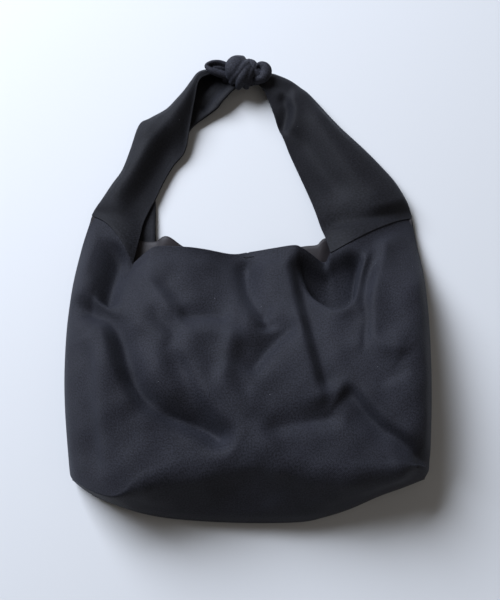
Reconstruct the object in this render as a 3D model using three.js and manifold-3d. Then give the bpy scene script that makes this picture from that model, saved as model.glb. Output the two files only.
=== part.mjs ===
// A soft shoulder tote of dark wool cloth, lying on its back as it was photographed.
// Each side of the mouth has its own wide strap, and the two straps are tied in a knot.
// Millimetres. +X runs to the right across the bag, +Y from the base to the knot, +Z up off the floor.
import * as THREE from 'three';
import { mergeVertices } from 'three/addons/utils/BufferGeometryUtils.js';
import Module from 'manifold-3d';

const wasm = await Module();
wasm.setup();

// Overall sizes
const BAG_LENGTH = 610; // base to the top of the knot
const BODY_LENGTH = 330; // base to the front edge of the mouth
const BODY_WIDTH = 440; // widest place between the side seams
const BASE_WIDTH = 414; // between the two base corners
const RIM_WIDTH = 410; // between the outer ends of the strap seams
const BODY_HEIGHT = 78; // crown of the front above the floor
const SEAM_HEIGHT = 10; // side and base seams above the floor
const BASE_BOW = 50; // how far the base bows out beyond its corners
const BASE_CURVE = 2.6; // power of that bow, fuller at the corners when higher
const CROWN_CURVE = 8; // power of the arch of the front across the bag, boxier when higher
const RIM_CURVE = 2.4; // the same at the mouth
const BOXY_LENGTH = 200; // base to the place where the arch starts to round off towards the mouth
const BASE_ROUNDING = 82; // length over which the front falls to the middle of the base seam
const CORNER_ROUNDING = 10; // the same at the base corners
const CROWN_LENGTH = 150; // base to the place where the front starts to fall towards the mouth

// Mouth
const MOUTH_HEIGHT = 36; // front edge above the floor, away from the snap
const RIM_RISE = 57; // outer ends of the strap seams above the front edge of the mouth
const MOUTH_LEFT = 145; // front mouth corner at the left strap
const MOUTH_RIGHT = 101; // front mouth corner at the right strap
const BACK_MOUTH_LEFT = 117; // back mouth corner at the left strap
const BACK_MOUTH_RIGHT = 97; // back mouth corner at the right strap
const BACK_RISE = 22; // back edge of the mouth beyond the front edge

// Cloth
const CLOTH = 1.8; // outer wool cloth
const LINING = 0.8;
const FACING = 1.6; // inner layer of the straps
const SEAM_GAP = 0.3; // between two layers that touch
const HINGE_GAP = 0.5; // where cloth bends between two bodies

// Magnetic snap under the middle of the mouth
const SNAP_RADIUS = 9;
const SOCKET_HEIGHT = 3;
const STUD_HEIGHT = 2;
const NUB_RADIUS = 3.5;
const NUB_HEIGHT = 1.2;
const NUB_CLEARANCE = 1.4;
const SNAP_BELOW_EDGE = 13; // snap centre below the front edge of the mouth
const PINCH_WIDTH = 150; // front cloth drawn down to the snap
const PINCH_LENGTH = 90;
const PINCH_FLAT = 0.2; // share of the pinch that lies flat on the snap

// Main folds of the front: the line of each in plan, its rise, or its depth below zero, and the half
// width over which it fades on the left or lower side and on the other side
const FOLDS = [
  // the long valley from the left side down to the middle
  {
    line: [[-180, -62], [-158, -80], [-143, -125], [-122, -167], [-90, -192], [-45, -212]],
    rise: -20,
    widths: [18, 32],
  },
  // the curved valley and ridge left of the middle
  { line: [[-113, -102], [-82, -136], [-57, -178]], rise: -9, widths: [26, 18] },
  { line: [[-88, -94], [-58, -137], [-33, -180]], rise: 5, widths: [16, 24] },
  // the valley that runs from the middle up to the right
  { line: [[1, -142], [25, -104], [65, -74]], rise: -8, widths: [18, 22] },
  // the sharp crease right of the middle
  { line: [[47, 10], [56, -36], [70, -98], [88, -170]], rise: 6, widths: [26, 14] },
  { line: [[66, -16], [71, -37], [83, -99], [98, -160]], rise: -10, widths: [14, 18] },
  // the bowl under the right corner of the mouth
  { line: [[102, -8], [103, -24], [113, -34], [123, -24], [127, -8]], rise: -20, widths: [22, 24] },
  // the ridge down the right side, and the swell beside and below it
  { line: [[163, 26], [162, -8], [148, -69], [164, -104]], rise: 6, widths: [16, 20] },
  { line: [[176, -60], [184, -110], [186, -170]], rise: 8, widths: [26, 26] },
  // the crease to the right base corner
  { line: [[108, -149], [128, -165], [156, -199], [178, -216]], rise: -9, widths: [24, 16] },
  // the hollow above the base
  { line: [[12, -208], [72, -193], [116, -192]], rise: -6, widths: [18, 24] },
];
const FOLD_MARGIN = 0.13; // share of the body beside its seams and rim where the folds die out

// Part of the front that lifts when the mouth opens
const FLAP_LENGTH = 150; // from the front edge of the mouth down to the bend
const FLAP_BEND_WIDTH = 44;
const FLAP_MOUTH_LEFT = 64;
const FLAP_MOUTH_RIGHT = 38;

// Straps
const FOLD_ABOVE_RIM = 9; // the straps bend this far beyond the ends of their seams
const STRAP_HEIGHT = 20; // top of a strap above the floor
const STRAP_LIFT = 0.8; // underside of a strap above the floor
const STRAP_EDGE = 9; // roll at the outer edge of a strap
// How far the edges of a strap lean in between its seam and the bend line
const LEFT_LEAN = { outer: 8, front: 16, back: 4 };
const RIGHT_LEAN = { outer: -2, front: 22, back: 22 };
// How far the edges of the straps swing off the straight line between the bend line and the knot
const LEFT_ELBOW = 34;
const LEFT_JOG = 8;
const RIGHT_SWELL = 26;
const RIGHT_HOLLOW = 15;
// Bends of those edges: share of the way to the knot, then the distance off the straight line
const LEFT_OUTER_BENDS = [
  [0.28, 0.4 * LEFT_ELBOW], [0.47, LEFT_ELBOW], [0.62, 0.6 * LEFT_ELBOW], [0.88, 0.63 * LEFT_ELBOW],
];
const LEFT_INNER_BENDS = [[0.42, -0.4 * LEFT_JOG], [0.58, LEFT_JOG]];
const RIGHT_OUTER_BENDS = [[0.14, -0.65 * RIGHT_SWELL], [0.45, -0.9 * RIGHT_SWELL], [0.8, -RIGHT_SWELL]];
const RIGHT_INNER_BENDS = [[0.45, -0.4 * RIGHT_HOLLOW], [0.82, -RIGHT_HOLLOW]];

// Knot
const KNOT_RADIUS = 22; // outside of the wrap
const KNOT_X = -13; // middle of the wrap
const WRAP_RADIUS = 7.3; // half the thickness of the wrap
const CORE_LEFT = 18; // ends of the core from the middle of the wrap
const CORE_RIGHT = 25;
const CORE_END_RADIUS = 19;
const CORE_EDGE = 3; // bevel at the ends of the core
const TAIL_THICKNESS = 11;
const TAIL_TIP_THICKNESS = 6;
const TAIL_WIDTH = 17;
const TAIL_ABOVE_STRAP = 2;
const TAIL_OFFSET = 6; // middle of a tail beyond the middle of the knot
const LEFT_TAIL_LENGTH = 30;
const RIGHT_TAIL_LENGTH = 21;

// Finish
const WOOL = { color: 0x24262d, roughness: 0.95, metalness: 0 };
const SATIN = { color: 0x2a2427, roughness: 0.55, metalness: 0 };
const STEEL = { color: 0x8a8a8c, roughness: 0.35, metalness: 0.9 };

// Places that follow from the sizes
const BOTTOM_Y = -BAG_LENGTH / 2;
const MOUTH_Y = BOTTOM_Y + BODY_LENGTH;
const RIM_END_Y = MOUTH_Y + RIM_RISE;
const BACK_MOUTH_Y = MOUTH_Y + BACK_RISE;
const FOLD_Y = RIM_END_Y + FOLD_ABOVE_RIM;
const KNOT_Y = BAG_LENGTH / 2 - KNOT_RADIUS;
const KNOT_Z = STRAP_LIFT + KNOT_RADIUS;
const SNAP_Y = MOUTH_Y - SNAP_BELOW_EDGE;
const BEND_Y = MOUTH_Y - FLAP_LENGTH;
const SLANT_GAP = 1.5 * SEAM_GAP; // along Y, so that the slanted strap seams keep the seam gap
const LINING_DEPTH = CLOTH + SEAM_GAP; // outer face of the lining under the outer face of the cloth
const SOCKET_Z = LINING_DEPTH + LINING + SEAM_GAP;
const STUD_Z = SOCKET_Z + SOCKET_HEIGHT + SEAM_GAP;
const PINCH_Z = STUD_Z + STUD_HEIGHT + SEAM_GAP + LINING + LINING_DEPTH; // front cloth over the snap

// Number of steps in the curved surfaces
const SIDE_STEPS = 7;
const FRONT_MOUTH_STEPS = 14;
const FRONT_LENGTH_STEPS = 22;
const BACK_MOUTH_STEPS = 7;
const BACK_LENGTH_STEPS = 13;
const STRAP_STEPS = 9;
const ROUND_STEPS = 20;
const WRAP_STEPS = 10;
const TAIL_STEPS = 6;
const BASE_CROWDING = 1.35; // above 1, the steps along the body crowd towards the base
const SEAM_CROWDING = 0.75; // below 1, the steps across the body crowd towards the side seams

const lerp = THREE.MathUtils.lerp;
const clamp01 = (t) => THREE.MathUtils.clamp(t, 0, 1);
const smooth = (t) => THREE.MathUtils.smoothstep(t, 0, 1);
const quarterRound = (t) => Math.sqrt(1 - (1 - clamp01(t)) ** 2);

// Evenly stepped values from a to b; ease below 1 crowds them towards b
function steps(a, b, count, ease = 1) {
  return Array.from({ length: count + 1 }, (_, k) => lerp(a, b, (k / count) ** ease));
}

// Values across the body from the left seam, -1, to the right seam, 1, with a step on each mouth corner
function acrossBody(leftCorner, rightCorner, mouthSteps) {
  const left = steps(leftCorner, -1, SIDE_STEPS, SEAM_CROWDING).reverse();
  const middleLeft = steps(leftCorner, 0, Math.ceil(mouthSteps / 2)).slice(1);
  const middleRight = steps(0, rightCorner, Math.floor(mouthSteps / 2)).slice(1);
  const right = steps(rightCorner, 1, SIDE_STEPS, SEAM_CROWDING).slice(1);
  return [...left, ...middleLeft, ...middleRight, ...right];
}

function halfWidth(v) {
  const bulge = (BODY_WIDTH - (BASE_WIDTH + RIM_WIDTH) / 2) / 2;
  return lerp(BASE_WIDTH, RIM_WIDTH, v) / 2 + bulge * 4 * v * (1 - v);
}

const baseEdge = (s) => BOTTOM_Y + BASE_BOW * Math.abs(s) ** BASE_CURVE;

// Edge of the mouth and the strap seams beside it
function rimEdge(s, leftCorner, rightCorner, mouthY) {
  if (s < leftCorner) return lerp(mouthY, RIM_END_Y, (s - leftCorner) / (-1 - leftCorner));
  if (s > rightCorner) return lerp(mouthY, RIM_END_Y, (s - rightCorner) / (1 - rightCorner));
  return mouthY;
}

const FRONT_LEFT = -MOUTH_LEFT / (RIM_WIDTH / 2);
const FRONT_RIGHT = MOUTH_RIGHT / (RIM_WIDTH / 2);
const BACK_LEFT = -BACK_MOUTH_LEFT / (RIM_WIDTH / 2);
const BACK_RIGHT = BACK_MOUTH_RIGHT / (RIM_WIDTH / 2);

// How far the front is drawn down to the snap, 1 on the snap and 0 away from it
function pinch(x, y) {
  const along = Math.min(0, y - SNAP_Y) / PINCH_LENGTH;
  const reach = Math.hypot(x / (PINCH_WIDTH / 2), along);
  return 1 - smooth((reach - PINCH_FLAT) / (1 - PINCH_FLAT));
}

// Distance of a place from a fold, as a share of the fold's half width on that side
function shareOffFold(place, { line, widths }) {
  const shares = line.slice(1).map(([toX, toY], k) => {
    const from = new THREE.Vector2(...line[k]);
    const way = new THREE.Vector2(toX, toY).sub(from);
    const off = place.clone().sub(from);
    const along = clamp01(off.dot(way) / way.lengthSq());
    const lower = way.x * off.y - way.y * off.x < 0;
    return off.addScaledVector(way, -along).length() / widths[lower ? 0 : 1];
  });
  return Math.min(...shares);
}

// Height that the folds add to the front
function foldRise(x, y, s, v) {
  const place = new THREE.Vector2(x, y);
  const rises = FOLDS.map((fold) => fold.rise * (1 - smooth(shareOffFold(place, fold))));
  const edge = Math.min(1 - Math.abs(s), v, 1 - v);
  return rises.reduce((a, b) => a + b) * smooth(edge / FOLD_MARGIN);
}

// Point of the front, with s across and v from the base seam to the rim
function frontPoint(s, v) {
  const x = s * halfWidth(v);
  const y = lerp(baseEdge(s), rimEdge(s, FRONT_LEFT, FRONT_RIGHT, MOUTH_Y), v);
  const towardsMouth = (start) => smooth((v * BODY_LENGTH - start) / (BODY_LENGTH - start));
  const crown = lerp(BODY_HEIGHT, MOUTH_HEIGHT, towardsMouth(CROWN_LENGTH)) - SEAM_HEIGHT;
  const across = Math.sqrt(1 - Math.abs(s) ** lerp(CROWN_CURVE, RIM_CURVE, towardsMouth(BOXY_LENGTH)));
  const base = Math.sqrt(clamp01((v * BODY_LENGTH) / lerp(BASE_ROUNDING, CORNER_ROUNDING, Math.abs(s))));
  const z = SEAM_HEIGHT + SEAM_GAP / 2 + crown * across * base + foldRise(x, y, s, v);
  return new THREE.Vector3(x, y, lerp(z, PINCH_Z, pinch(x, y)));
}

// Point of the back, flat on the floor with a rolled border up to the seams
function backPoint(s, v) {
  const x = s * halfWidth(v);
  const y = lerp(baseEdge(s), rimEdge(s, BACK_LEFT, BACK_RIGHT, BACK_MOUTH_Y), v);
  const side = quarterRound(((1 - Math.abs(s)) * halfWidth(v)) / SEAM_HEIGHT);
  const base = quarterRound((v * BODY_LENGTH) / SEAM_HEIGHT);
  return new THREE.Vector3(x, y, (SEAM_HEIGHT - SEAM_GAP / 2) * (1 - side * base));
}

// Unit normals of a grid of points; side is 1 or -1 and picks the face that looks outwards
function gridNormals(points, side) {
  const lastRow = points.length - 1;
  const lastColumn = points[0].length - 1;
  return points.map((row, i) => row.map((_, j) => {
    const along = points[Math.min(i + 1, lastRow)][j].clone().sub(points[Math.max(i - 1, 0)][j]);
    const across = row[Math.min(j + 1, lastColumn)].clone().sub(row[Math.max(j - 1, 0)]);
    return across.cross(along).multiplyScalar(side).normalize();
  }));
}

// At the side and base seams the layers stand upright, so that front and back meet edge to edge
function uprightAtSeams(points, normals) {
  const lastColumn = points[0].length - 1;
  const places = [];
  for (let i = points.length - 1; i > 0; i -= 1) places.push([i, 0]);
  for (let j = 0; j <= lastColumn; j += 1) places.push([0, j]);
  for (let i = 1; i < points.length; i += 1) places.push([i, lastColumn]);
  places.forEach(([i, j], k) => {
    const [i0, j0] = places[Math.max(k - 1, 0)];
    const [i1, j1] = places[Math.min(k + 1, places.length - 1)];
    const seam = points[i1][j1].clone().sub(points[i0][j0]);
    normals[i][j].set(seam.y, -seam.x, 0).normalize();
  });
}

// Takes one direction out of the normals of a row, so that the row ends in a flat face
function squareOff(normals, axis) {
  for (const normal of normals) {
    normal[axis] = 0;
    normal.normalize();
  }
}

// A closed layer of cloth that follows a grid of points at a depth under its outer face
function layer({ points, normals, side }, depth, thickness) {
  const rows = points.length;
  const columns = points[0].length;
  const positions = [];
  for (const d of [depth, depth + thickness]) {
    points.forEach((row, i) => row.forEach((point, j) => {
      positions.push(...point.clone().addScaledVector(normals[i][j], -d).toArray());
    }));
  }
  const out = (i, j) => i * columns + j;
  const inn = (i, j) => rows * columns + out(i, j);
  const index = [];
  const quad = (a, b, c, d) => index.push(...(side > 0 ? [a, b, c, a, c, d] : [a, c, b, a, d, c]));
  for (let i = 0; i < rows - 1; i += 1) {
    for (let j = 0; j < columns - 1; j += 1) {
      quad(out(i, j), out(i, j + 1), out(i + 1, j + 1), out(i + 1, j));
      quad(inn(i, j), inn(i + 1, j), inn(i + 1, j + 1), inn(i, j + 1));
    }
  }
  const lastRow = rows - 1;
  const lastColumn = columns - 1;
  for (let j = 0; j < lastColumn; j += 1) {
    quad(inn(0, j), inn(0, j + 1), out(0, j + 1), out(0, j));
    quad(out(lastRow, j), out(lastRow, j + 1), inn(lastRow, j + 1), inn(lastRow, j));
  }
  for (let i = 0; i < lastRow; i += 1) {
    quad(inn(i + 1, 0), inn(i, 0), out(i, 0), out(i + 1, 0));
    quad(inn(i, lastColumn), inn(i + 1, lastColumn), out(i + 1, lastColumn), out(i, lastColumn));
  }
  const geometry = new THREE.BufferGeometry();
  geometry.setAttribute('position', new THREE.Float32BufferAttribute(positions, 3));
  geometry.setIndex(index);
  return geometry;
}

// Solids for cutting, and back again
function toSolid(geometry) {
  const bare = geometry.clone();
  bare.deleteAttribute('normal');
  bare.deleteAttribute('uv');
  const merged = mergeVertices(bare);
  return new wasm.Manifold(new wasm.Mesh({
    numProp: 3,
    vertProperties: new Float32Array(merged.attributes.position.array),
    triVerts: new Uint32Array(merged.index.array),
  }));
}

function toGeometry(solid) {
  const mesh = solid.getMesh();
  const geometry = new THREE.BufferGeometry();
  geometry.setAttribute('position', new THREE.Float32BufferAttribute(mesh.vertProperties, 3));
  geometry.setIndex(new THREE.Uint32BufferAttribute(mesh.triVerts, 1));
  return geometry;
}

const bag = new THREE.Group();

function addPiece(name, geometry, finish) {
  const mesh = new THREE.Mesh(geometry, new THREE.MeshStandardMaterial(finish));
  mesh.name = name;
  bag.add(mesh);
  return mesh;
}

// Front and back of the body
function bodySurface(pointAt, across, lengthSteps, side) {
  const along = steps(0, 1, lengthSteps, BASE_CROWDING);
  const points = along.map((v) => across.map((s) => pointAt(s, v)));
  const normals = gridNormals(points, side);
  uprightAtSeams(points, normals);
  return { points, normals, side };
}

const acrossFront = acrossBody(FRONT_LEFT, FRONT_RIGHT, FRONT_MOUTH_STEPS);
const acrossBack = acrossBody(BACK_LEFT, BACK_RIGHT, BACK_MOUTH_STEPS);
const front = bodySurface(frontPoint, acrossFront, FRONT_LENGTH_STEPS, 1);
const back = bodySurface(backPoint, acrossBack, BACK_LENGTH_STEPS, -1);

addPiece('back_panel', layer(back, 0, CLOTH), WOOL);
addPiece('back_lining', layer(back, LINING_DEPTH, LINING), SATIN);

// The front is cut along the lines where it bends when the mouth opens
function flapPrism(gap) {
  const beyondMouth = MOUTH_Y + RIM_RISE;
  const outline = new THREE.Shape();
  outline.moveTo(-FLAP_BEND_WIDTH / 2 - gap, BEND_Y - gap);
  outline.lineTo(FLAP_BEND_WIDTH / 2 + gap, BEND_Y - gap);
  outline.lineTo(FLAP_MOUTH_RIGHT + gap, MOUTH_Y);
  outline.lineTo(FLAP_MOUTH_RIGHT + gap, beyondMouth);
  outline.lineTo(-FLAP_MOUTH_LEFT - gap, beyondMouth);
  outline.lineTo(-FLAP_MOUTH_LEFT - gap, MOUTH_Y);
  outline.closePath();
  return toSolid(new THREE.ExtrudeGeometry(outline, { depth: BODY_HEIGHT * 2, bevelEnabled: false }));
}

function addFrontLayer(fixedName, flapName, depth, thickness, finish) {
  const whole = toSolid(layer(front, depth, thickness));
  addPiece(fixedName, toGeometry(whole.subtract(flapPrism(HINGE_GAP / 2))), finish);
  addPiece(flapName, toGeometry(whole.intersect(flapPrism(-HINGE_GAP / 2))), finish);
}

addFrontLayer('front_panel', 'front_mouth_panel', 0, CLOTH, WOOL);
addFrontLayer('front_lining', 'front_mouth_lining', LINING_DEPTH, LINING, SATIN);

// Magnetic snap
function addSnapHalf(name, profile, z) {
  const outline = profile.map(([r, height]) => new THREE.Vector2(r, height));
  const mesh = addPiece(name, new THREE.LatheGeometry(outline, ROUND_STEPS), STEEL);
  mesh.rotation.x = Math.PI / 2;
  mesh.position.set(0, SNAP_Y, z);
}

const wellRadius = NUB_RADIUS + NUB_CLEARANCE;
const wellFloor = SOCKET_HEIGHT - NUB_HEIGHT; // a seam gap under the nub, as the two halves are apart
addSnapHalf('snap_socket', [
  [0, 0], [SNAP_RADIUS, 0], [SNAP_RADIUS, SOCKET_HEIGHT],
  [wellRadius, SOCKET_HEIGHT], [wellRadius, wellFloor], [0, wellFloor],
], SOCKET_Z);
addSnapHalf('snap_stud', [
  [0, -NUB_HEIGHT], [NUB_RADIUS, -NUB_HEIGHT], [NUB_RADIUS, 0],
  [SNAP_RADIUS, 0], [SNAP_RADIUS, STUD_HEIGHT], [0, STUD_HEIGHT],
], STUD_Z);

// Section of a strap, a band folded in half: in along the top from its front edge, round the outer
// edge, and back along the underside. The three corners are points in plan.
function strapSection(outer, frontEdge, backEdge, top) {
  const middle = (top + STRAP_LIFT) / 2;
  const half = (top - STRAP_LIFT) / 2;
  const section = [];
  const put = (edge, reach, z) => {
    const way = edge.clone().sub(outer).normalize();
    section.push(new THREE.Vector3(outer.x + way.x * reach, outer.y + way.y * reach, z));
  };
  const arc = steps(Math.PI / 2, 0, SIDE_STEPS - 2);
  const frontReach = frontEdge.distanceTo(outer);
  const backReach = backEdge.distanceTo(outer);
  steps(frontReach, STRAP_EDGE, 2).slice(0, 2).forEach((reach) => put(frontEdge, reach, top));
  arc.forEach((a) => put(frontEdge, STRAP_EDGE * (1 - Math.cos(a)), middle + half * Math.sin(a)));
  arc.slice(0, -1).reverse()
    .forEach((a) => put(backEdge, STRAP_EDGE * (1 - Math.cos(a)), middle - half * Math.sin(a)));
  steps(STRAP_EDGE, backReach, 2).slice(1).forEach((reach) => put(backEdge, reach, STRAP_LIFT));
  return section;
}

// Edge of a strap in plan, from the bend line to the knot
function strapEdge(from, to, bends) {
  const way = to.clone().sub(from);
  const off = new THREE.Vector2(-way.y, way.x).normalize();
  const bendPoint = ([share, offset]) => from.clone().addScaledVector(way, share).addScaledVector(off, offset);
  return new THREE.SplineCurve([from, ...bends.map(bendPoint), to]);
}

// One strap, with side -1 for the left one and 1 for the right one
function addStrap(name, side, fold, outerBends, innerBends, coreReach) {
  const knotX = KNOT_X + side * (coreReach + SEAM_GAP);
  const inPlan = (x, y) => new THREE.Vector2(x, y);

  // The sewn base runs from the rim of the body to the bend line. Its first row follows the rim, from the
  // front corner of the mouth out to the side seam and back to the corner behind.
  const seamColumns = (surface) => {
    const last = surface.points[0].length - 1;
    const fromSeam = [...Array(SIDE_STEPS + 1).keys()];
    return fromSeam.reverse().map((k) => (side < 0 ? k : last - k));
  };
  const rim = [];
  const rimNormals = [];
  const take = (surface, columns) => columns.forEach((j) => {
    const point = surface.points.at(-1)[j].clone();
    point.y += SLANT_GAP;
    rim.push(point);
    rimNormals.push(surface.normals.at(-1)[j].clone());
  });
  take(front, seamColumns(front));
  take(back, seamColumns(back).reverse().slice(1));
  const bendSection = (y) => strapSection(
    inPlan(fold.outer, y), inPlan(fold.front, y), inPlan(fold.back, y), STRAP_HEIGHT);
  const bend = bendSection(FOLD_Y - HINGE_GAP / 2);
  const middle = rim.map((point, j) => point.clone().lerp(bend[j], 0.5));
  const basePoints = [rim, middle, bend];
  const baseNormals = gridNormals(basePoints, side);
  baseNormals[0] = rimNormals;
  squareOff(baseNormals[2], 'y');
  const base = { points: basePoints, normals: baseNormals, side };
  addPiece(`${name}_strap_base`, layer(base, 0, CLOTH), WOOL);
  addPiece(`${name}_strap_base_facing`, layer(base, LINING_DEPTH, FACING), WOOL);

  // The free arm runs from the bend line to the knot
  const outerEnd = inPlan(knotX, KNOT_Y + CORE_END_RADIUS);
  const innerEnd = inPlan(knotX, KNOT_Y - CORE_END_RADIUS);
  const startY = FOLD_Y + HINGE_GAP / 2;
  const outerEdge = strapEdge(inPlan(fold.outer, startY), outerEnd, outerBends);
  const frontEdge = strapEdge(inPlan(fold.front, startY), innerEnd, innerBends);
  const backEdge = strapEdge(inPlan(fold.back, startY), innerEnd, innerBends);
  const armPoints = steps(0, 1, STRAP_STEPS)
    .map((q) => strapSection(outerEdge.getPoint(q), frontEdge.getPoint(q), backEdge.getPoint(q), STRAP_HEIGHT));
  const armNormals = gridNormals(armPoints, side);
  squareOff(armNormals[0], 'y');
  squareOff(armNormals.at(-1), 'x');
  const arm = { points: armPoints, normals: armNormals, side };
  addPiece(`${name}_strap_arm`, layer(arm, 0, CLOTH), WOOL);
  addPiece(`${name}_strap_facing`, layer(arm, LINING_DEPTH, FACING), WOOL);
}

const leftFold = {
  outer: -RIM_WIDTH / 2 + LEFT_LEAN.outer,
  front: -MOUTH_LEFT + LEFT_LEAN.front,
  back: -BACK_MOUTH_LEFT + LEFT_LEAN.back,
};
const rightFold = {
  outer: RIM_WIDTH / 2 - RIGHT_LEAN.outer,
  front: MOUTH_RIGHT - RIGHT_LEAN.front,
  back: BACK_MOUTH_RIGHT - RIGHT_LEAN.back,
};
addStrap('left', -1, leftFold, LEFT_OUTER_BENDS, LEFT_INNER_BENDS, CORE_LEFT);
addStrap('right', 1, rightFold, RIGHT_OUTER_BENDS, RIGHT_INNER_BENDS, CORE_RIGHT);

// Knot: the end of one strap is wrapped round the end of the other
const wrapMiddle = KNOT_RADIUS - WRAP_RADIUS;
const ring = new THREE.TorusGeometry(wrapMiddle, WRAP_RADIUS, WRAP_STEPS, ROUND_STEPS);
const wrap = addPiece('knot_wrap', ring, WOOL);
wrap.rotation.y = Math.PI / 2;
wrap.position.set(KNOT_X, KNOT_Y, KNOT_Z);

const waist = wrapMiddle - WRAP_RADIUS - SEAM_GAP;
const besideWrap = WRAP_RADIUS + SEAM_GAP;
const shoulder = besideWrap + CORE_EDGE;
const coreProfile = [
  [0, -CORE_LEFT], [CORE_END_RADIUS - CORE_EDGE, -CORE_LEFT], [CORE_END_RADIUS, CORE_EDGE - CORE_LEFT],
  [CORE_END_RADIUS, -shoulder], [waist, -besideWrap], [waist, besideWrap], [CORE_END_RADIUS, shoulder],
  [CORE_END_RADIUS, CORE_RIGHT - CORE_EDGE], [CORE_END_RADIUS - CORE_EDGE, CORE_RIGHT], [0, CORE_RIGHT],
].map(([r, x]) => new THREE.Vector2(r, x));
const core = addPiece('knot_core', new THREE.LatheGeometry(coreProfile, ROUND_STEPS), WOOL);
core.rotation.z = -Math.PI / 2;
core.position.set(KNOT_X, KNOT_Y, KNOT_Z);

// Free ends of the straps beyond the knot, round at the root so that they can lift
function addTail(name, side, coreReach, length) {
  const root = TAIL_THICKNESS / 2;
  const tip = TAIL_TIP_THICKNESS / 2;
  const outline = new THREE.Shape();
  outline.absarc(0, 0, root, Math.PI / 2, -Math.PI / 2, false);
  outline.lineTo(length - tip, -root);
  outline.absarc(length - tip, tip - root, tip, -Math.PI / 2, Math.PI / 2, false);
  outline.closePath();
  const options = { depth: TAIL_WIDTH, bevelEnabled: false, curveSegments: TAIL_STEPS };
  const mesh = addPiece(name, new THREE.ExtrudeGeometry(outline, options), WOOL);
  mesh.rotation.set(Math.PI / 2, side < 0 ? Math.PI : 0, 0);
  mesh.position.set(
    KNOT_X + side * (coreReach + SEAM_GAP + root),
    KNOT_Y + TAIL_OFFSET + side * (TAIL_WIDTH / 2),
    STRAP_HEIGHT + TAIL_ABOVE_STRAP + root);
}

addTail('left_tail', -1, CORE_LEFT, LEFT_TAIL_LENGTH);
addTail('right_tail', 1, CORE_RIGHT, RIGHT_TAIL_LENGTH);

export default bag;
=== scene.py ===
# A soft shoulder tote of dark wool cloth, lying on its back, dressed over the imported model.
# Lengths are millimetres until a mesh is made. Places on the cloth that were read off the photograph are
# pixels of its 500 x 600 frame, and are carried into the frame through the camera.
import math

import bpy
import numpy as np
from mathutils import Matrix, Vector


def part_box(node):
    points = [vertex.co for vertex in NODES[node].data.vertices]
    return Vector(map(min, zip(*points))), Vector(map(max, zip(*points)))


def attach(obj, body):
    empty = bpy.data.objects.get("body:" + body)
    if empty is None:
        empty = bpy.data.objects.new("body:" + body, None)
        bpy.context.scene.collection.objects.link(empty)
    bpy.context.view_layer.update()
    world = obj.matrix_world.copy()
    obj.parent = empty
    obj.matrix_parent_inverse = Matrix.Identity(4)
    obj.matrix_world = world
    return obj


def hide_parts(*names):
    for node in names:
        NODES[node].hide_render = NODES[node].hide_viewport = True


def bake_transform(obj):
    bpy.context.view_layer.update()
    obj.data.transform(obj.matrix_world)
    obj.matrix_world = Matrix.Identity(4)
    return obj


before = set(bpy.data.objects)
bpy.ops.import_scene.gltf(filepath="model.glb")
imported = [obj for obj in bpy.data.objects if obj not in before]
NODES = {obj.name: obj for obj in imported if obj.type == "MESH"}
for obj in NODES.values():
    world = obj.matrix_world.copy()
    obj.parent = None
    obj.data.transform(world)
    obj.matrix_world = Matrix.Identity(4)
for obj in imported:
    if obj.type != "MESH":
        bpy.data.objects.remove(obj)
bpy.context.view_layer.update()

MM = 0.001
TINY = 1e-9  # least length that is divided by

# Camera of the photograph
PHOTO_WIDTH, PHOTO_HEIGHT = 500, 600
PHOTO_X, PHOTO_Y = PHOTO_WIDTH / 2, PHOTO_HEIGHT / 2  # middle of the picture
FOCAL = 900  # focal length in pixels
SENSOR = 36  # longer side of the sensor
EYE = np.array([3.0, -347.0, 1099.7])  # place of the camera
TILT = math.radians(16.14)  # how far the camera is turned away from looking straight down

# Cloth
SEAM_HEIGHT = 10  # side and base seams above the floor
CLOTH = 1.8  # thickness of the wool
LINING_DEPTH = 2.1  # from the outer face of the wool to the layer inside it
LINING = 0.8  # thickness of the satin
FACING = 1.6  # thickness of the inner layer of a strap
HEM = 1.3  # extra thickness of the turned edge at the mouth
HEM_WIDTH = 9
HEM_TURN = 3  # length over which that thickness runs out
EDGE_BULGE = 0.45  # how far a free edge is rounded, as a share of the thickness

# Steps of the surfaces
BODY_ROWS = 230
HALF_COLUMNS = 140
LINING_STEP = 2  # the linings of the front take every second row and column
BACK_ROWS = 130
BACK_HALF_COLUMNS = 120
STRAP_ROWS = 130
STRAP_COLUMNS = 34

# Steps of the curves
CURVE_STEPS = 24  # between two points that a curve is given by
FOLD_STEPS = 36
SIDE_STEPS = 160
SEAM_STEPS = 60
MOUTH_STEPS = 200
RIM_STEPS = 240
PROFILE_STEPS = 400
TURN_STEPS = 200

# Rounds in which values are evened out
FOLD_ROUNDS = 9
STRAP_FOLD_ROUNDS = 4
EDGE_ROUNDS = 700

# How much rows and columns crowd towards the edges, where cloth turns tightly
FRONT_CROWD_ACROSS = 0.35
FRONT_CROWD_ALONG = 0.4
BACK_CROWD_ACROSS = 0.8
BACK_CROWD_ALONG = 0.6
STRAP_CROWD = 0.6


def smooth(t):
    """Goes from 0 to 1 with a soft start and end."""
    t = np.clip(t, 0, 1)
    return t * t * (3 - 2 * t)


def lerp(a, b, t):
    """Value at the share t of the way from a to b."""
    return a + (b - a) * t


# Photograph and frame

def to_frame(px, py, z):
    """Point of the frame that a pixel shows at the height z."""
    u = (np.asarray(px, float) - PHOTO_X) / FOCAL
    v = (PHOTO_Y - np.asarray(py, float)) / FOCAL
    depth = (EYE[2] - z) / (math.cos(TILT) - v * math.sin(TILT))
    x = EYE[0] + u * depth
    y = EYE[1] + depth * (math.sin(TILT) + v * math.cos(TILT))
    return np.stack([x, y, z + 0 * x], axis=-1)


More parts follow.
